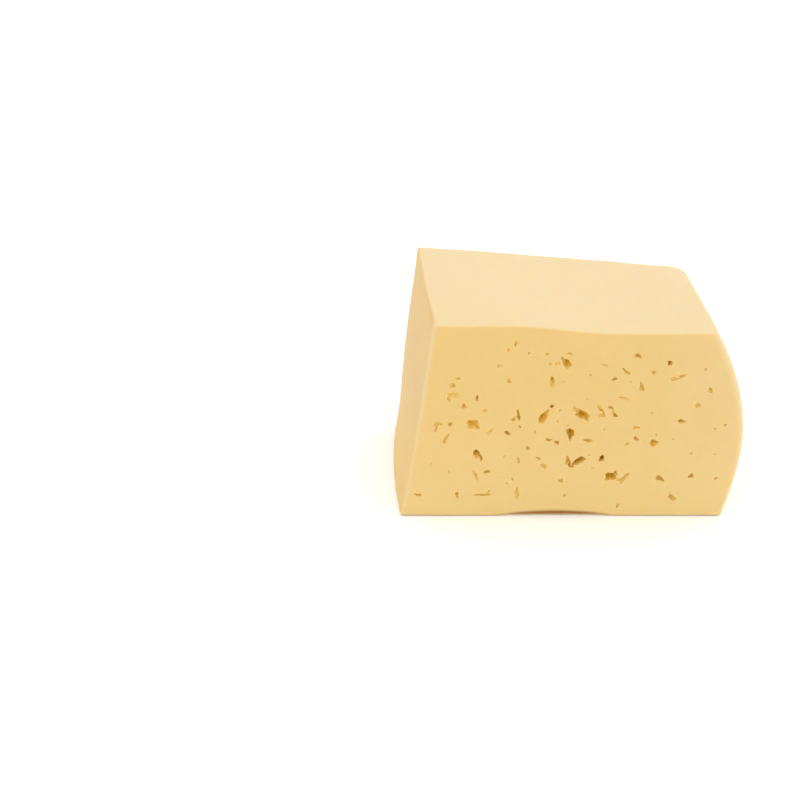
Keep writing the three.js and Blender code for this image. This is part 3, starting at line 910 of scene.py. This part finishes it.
@dataclass
class CheeseBlock:
    """The block: a fine skin on its form, with the eyes cut in, and its paste. Sizes are in millimetres."""

    form: BlockForm = field(default_factory=BlockForm)
    cutter: EyeCutter = field(default_factory=EyeCutter)
    paste: CheesePaste = field(default_factory=CheesePaste)
    edge_lines: tuple[float, ...] = (0, 0.15, 0.35, 0.6, 0.9, 1.2, 1.8, 2.8, 4.2, 6.5)
    line_spacing: float = 2.6
    waves: tuple[tuple[float, float], ...] = ((26.0, 0.12), (8.0, 0.05))  # length and reach, on the outside
    cut_facing: tuple[float, float] = (0.6, 0.98)  # how far to the front or back, from outside to cut face
    left_facing: tuple[float, float] = (0.3, 0.95)  # how far to the left, from elsewhere to the left side
    flatness: float = 0.001  # a point this near to a cut face lies on it
    shift: Vector = field(default_factory=Vector)  # the place of the block's corner in the frame

    def grid_lines(self, side: float) -> list[float]:
        """Lays the grid lines along one side, close together at its ends.

        Args:
            side: the side's length.

        Returns:
            The places of the lines, from 0 to the side's length.
        """
        inner = self.edge_lines[-1]
        count = round((side - 2 * inner) / self.line_spacing)
        between = [mix(inner, side - inner, n / count) for n in range(1, count)]
        return [*self.edge_lines, *between, *(side - line for line in reversed(self.edge_lines))]

    def unevenness(self, spot: Vector, facing: Vector) -> float:
        """Gives how far the outside stands off its plain form; the cut faces and the base stay true."""
        outside = 0.0 if facing.z < 0 else 1 - facing.y**2
        return outside * sum(reach * noise.noise(spot / length) for length, reach in self.waves)

    def build_skin(self) -> bpy.types.Object:
        """Builds the closed skin, with each point's marks.

        Returns:
            The skin as an object in the frame's metres.
        """
        lines = [self.grid_lines(side) for side in (self.form.foot_length, self.form.depth, self.form.height)]
        last = [len(line) - 1 for line in lines]
        numbers: dict[tuple[int, ...], int] = {}
        faces = []
        for axis in range(3):
            first, second = (axis + 1) % 3, (axis + 2) % 3
            for end in (0, last[axis]):
                for i in range(last[first]):
                    for j in range(last[second]):
                        corners = []
                        for a, b in ((i, j), (i + 1, j), (i + 1, j + 1), (i, j + 1)):
                            key = [0, 0, 0]
                            key[axis], key[first], key[second] = end, a, b
                            corners.append(numbers.setdefault(tuple(key), len(numbers)))
                        faces.append(corners if end else corners[::-1])
        plain, raised, marks = [], [], {mark: [] for mark in Mark if mark is not Mark.DEPTH}
        for key in numbers:
            point, facing = self.form.round_edges(Vector([line[n] for line, n in zip(lines, key)]))
            spot = self.form.settle(point)
            plain.append(spot)
            raised.append(spot + facing * self.unevenness(spot, facing))
            marks[Mark.CUT].append(smooth(abs(facing.y), *self.cut_facing))
            marks[Mark.LEFT].append(smooth(-facing.x, *self.left_facing))
            marks[Mark.EDGE].append(0.0 if facing.z < 0 else min(1.0, edge_middle(facing.y)))
            marks[Mark.FOOT].append(self.form.foot_shade(spot, facing))
        middle = (CAD_BOX[0] + CAD_BOX[1]) / 2 / MM
        for axis in (0, 1):
            reach = [spot[axis] for spot in plain]
            self.shift[axis] = middle[axis] - (min(reach) + max(reach)) / 2
        mesh = bpy.data.meshes.new("cheese_skin")
        mesh.from_pydata([(spot + self.shift) * MM for spot in raised], [], faces)
        for mark, values in marks.items():
            mesh.attributes.new(mark.value, "FLOAT", "POINT").data.foreach_set("value", values)
        made = bpy.data.objects.new("cheese_paste", mesh)
        bpy.context.scene.collection.objects.link(made)
        return made

    def cut_eyes(self, skin: bpy.types.Object, material: bpy.types.Material) -> None:
        """Cuts the eyes into the skin and keeps the result as a plain mesh.

        Args:
            skin: the skin, whose mesh is replaced.
            material: its paste.
        """
        placed = EyeField(self.form).lay_out()
        points = self.cutter.points(placed, self.form, self.shift)
        shelf = self.cutter.shelf()
        layers = 1 + max(value.value for value in points.data.attributes["layer"].data)
        modifier = skin.modifiers.new("cut_eyes", "NODES")
        modifier.node_group = self.cutter.tree(layers)
        cutter = self.cutter
        wanted = {"Points": points, "Forms": shelf, "Ruffle": cutter.ruffle,
                  "Ruffle length": cutter.ruffle_length, "Wall ruffle": cutter.wall_ruffle,
                  "Wall ruffle length": cutter.wall_ruffle_length, "Full ruffle": cutter.full_ruffle,
                  "Seed": cutter.seed, "Paste": material}
        for socket in modifier.node_group.interface.items_tree:
            if socket.in_out == "INPUT" and socket.name in wanted:
                modifier[socket.identifier] = wanted[socket.name]
        shown = bpy.context.evaluated_depsgraph_get()
        mesh = bpy.data.meshes.new_from_object(
            skin.evaluated_get(shown), preserve_all_data_layers=True, depsgraph=shown)
        skin.modifiers.remove(modifier)
        mesh.materials.clear()  # the cut leaves an empty slot before the paste
        mesh.materials.append(material)
        skin.data = mesh
        for helper in [points, *shelf.objects]:
            bpy.data.objects.remove(helper)
        bpy.data.collections.remove(shelf)
        log.info("%d eyes in %d layers", len(placed), layers)

    def below_cut(self, place: Vector) -> tuple[Vector, float]:
        """Finds the nearer cut face.

        Args:
            place: a point in the frame, in metres.

        Returns:
            The way that face looks, and how far the point lies below it in millimetres.
        """
        spot = place / MM - self.shift
        back_facing = Vector((self.form.back_slant, 1, 0)).normalized()
        behind = (self.form.back_face(spot.x) - spot.y) * back_facing.y
        return (Vector((0, -1, 0)), spot.y) if spot.y < behind else (back_facing, behind)

    def mark_eyes(self, mesh: bpy.types.Mesh) -> None:
        """Marks how deep each point of the eyes lies, and leaves no marks of the outside in them.

        Args:
            mesh: the cut block.
        """
        walls = mesh.attributes["eye_wall"].data
        in_eyes = {n for face in mesh.polygons if walls[face.index].value for n in face.vertices}
        values = {mark: [0.0] * len(mesh.vertices) for mark in Mark}
        for mark in Mark:
            if mark is not Mark.DEPTH:
                mesh.attributes[mark.value].data.foreach_get("value", values[mark])
        for n in in_eyes:
            values[Mark.CUT][n] = 1.0
            values[Mark.LEFT][n] = values[Mark.EDGE][n] = values[Mark.FOOT][n] = 0.0
            values[Mark.DEPTH][n] = max(0.0, self.below_cut(mesh.vertices[n].co)[1])
        kept = {mark.value for mark in Mark} | {"position", "sharp_face"}
        spare = [layer.name for layer in mesh.attributes if not layer.is_internal and layer.name not in kept]
        for name in spare:
            mesh.attributes.remove(mesh.attributes[name])
        for mark, row in values.items():
            layer = mesh.attributes.get(mark.value) or mesh.attributes.new(mark.value, "FLOAT", "POINT")
            layer.data.foreach_set("value", row)

    def true_cuts(self, mesh: bpy.types.Mesh) -> None:
        """Shades the cut faces flat up to the mouths of the eyes, and everything else softly.

        Args:
            mesh: the cut block.
        """
        mesh.shade_smooth()
        normals = [Vector(item.vector) for item in mesh.vertex_normals]
        for vertex in mesh.vertices:
            facing, below = self.below_cut(vertex.co)
            if abs(below) < self.flatness:
                normals[vertex.index] = facing
        mesh.normals_split_custom_set_from_vertices(normals)

    def build(self) -> bpy.types.Object:
        """Builds the whole block and dresses it.

        Returns:
            The finished object.
        """
        material = self.paste.build()
        block = self.build_skin()
        self.cut_eyes(block, material)
        self.mark_eyes(block.data)
        self.true_cuts(block.data)
        return block


@dataclass(frozen=True)
class Studio:
    """A white light table, even light that is stronger from above and from the right, and the camera."""

    camera_place: tuple[float, float, float] = (0.0, -790.4, 439.8)  # mm from the block's lower left corner
    look_down: float = 26.0  # degrees
    focal_length: float = 96.75  # mm
    film_width: float = 36.0  # mm
    table_side: float = 40.0  # m
    table_drop: float = 0.0001  # m below the base
    table_white: int = 0xFCFCFB
    table_glow: float = 0.07
    lamp_way: tuple[float, float, float] = (0.3, 0.0, 0.95)  # towards the lamps
    overhead: float = 1.4  # strength of the light from there
    horizon: float = 0.95  # and from the sides

    def set_table(self) -> bpy.types.Object:
        """Builds the table top, just under the base.

        Returns:
            The table.
        """
        half = self.table_side / 2
        mesh = bpy.data.meshes.new("table")
        corners = [(x * half, y * half, -self.table_drop) for x, y in ((-1, -1), (1, -1), (1, 1), (-1, 1))]
        mesh.from_pydata(corners, [], [(0, 1, 2, 3)])
        white = bpy.data.materials.new("opal_acrylic")
        white.use_nodes = True
        tree = white.node_tree
        tree.nodes.clear()
        face = add_node(tree, "ShaderNodeBsdfDiffuse", {"Color": srgb(self.table_white)})
        glow = add_node(tree, "ShaderNodeEmission", {"Strength": self.table_glow})
        both = add_node(tree, "ShaderNodeAddShader", {0: face.outputs[0], 1: glow.outputs[0]})
        add_node(tree, "ShaderNodeOutputMaterial", {"Surface": both.outputs[0]})
        mesh.materials.append(white)
        table = bpy.data.objects.new("table", mesh)
        bpy.context.scene.collection.objects.link(table)
        return table

    def set_light(self) -> None:
        """Lights the room evenly, brightest where the lamps hang."""
        room = bpy.data.worlds.new("white_tent")
        room.use_nodes = True
        tree = room.node_tree
        tree.nodes.clear()
        way = add_node(tree, "ShaderNodeTexCoord").outputs["Generated"]
        near_lamps = add_node(tree, "ShaderNodeVectorMath", {
            0: way, 1: self.lamp_way}, operation="DOT_PRODUCT")
        strength = add_node(tree, "ShaderNodeMapRange", {
            0: near_lamps.outputs["Value"], 1: 0.0, 2: 1.0, 3: self.horizon, 4: self.overhead}, clamp=False)
        light = add_node(tree, "ShaderNodeBackground", {
            "Color": (1, 1, 1, 1), "Strength": strength.outputs[0]})
        add_node(tree, "ShaderNodeOutputWorld", {"Surface": light.outputs[0]})
        bpy.context.scene.world = room

    def set_camera(self, corner: Vector) -> bpy.types.Object:
        """Stands the camera in front of the block, looking down on it.

        Args:
            corner: the block's lower left corner, in millimetres from the origin.

        Returns:
            The camera.
        """
        camera = bpy.data.objects.new("camera", bpy.data.cameras.new("camera"))
        camera.data.lens = self.focal_length
        camera.data.sensor_width = self.film_width
        camera.location = (corner + Vector(self.camera_place)) * MM
        camera.rotation_euler = (math.radians(90 - self.look_down), 0, 0)
        bpy.context.scene.collection.objects.link(camera)
        bpy.context.scene.camera = camera
        return camera


def main() -> None:
    """Builds the studio and the block."""
    logging.basicConfig(level=logging.INFO, format="%(name)s: %(message)s")
    bpy.context.scene.view_settings.view_transform = "Standard"
    cheese = CheeseBlock()
    block = cheese.build()
    studio = Studio()
    studio.set_camera(cheese.shift)
    studio.set_light()
    studio.set_table()
    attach(block, "root")
    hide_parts("cheese_block")
    log.info("%s: %d faces", block.name, len(block.data.polygons))


if __name__ == "__main__":
    main()
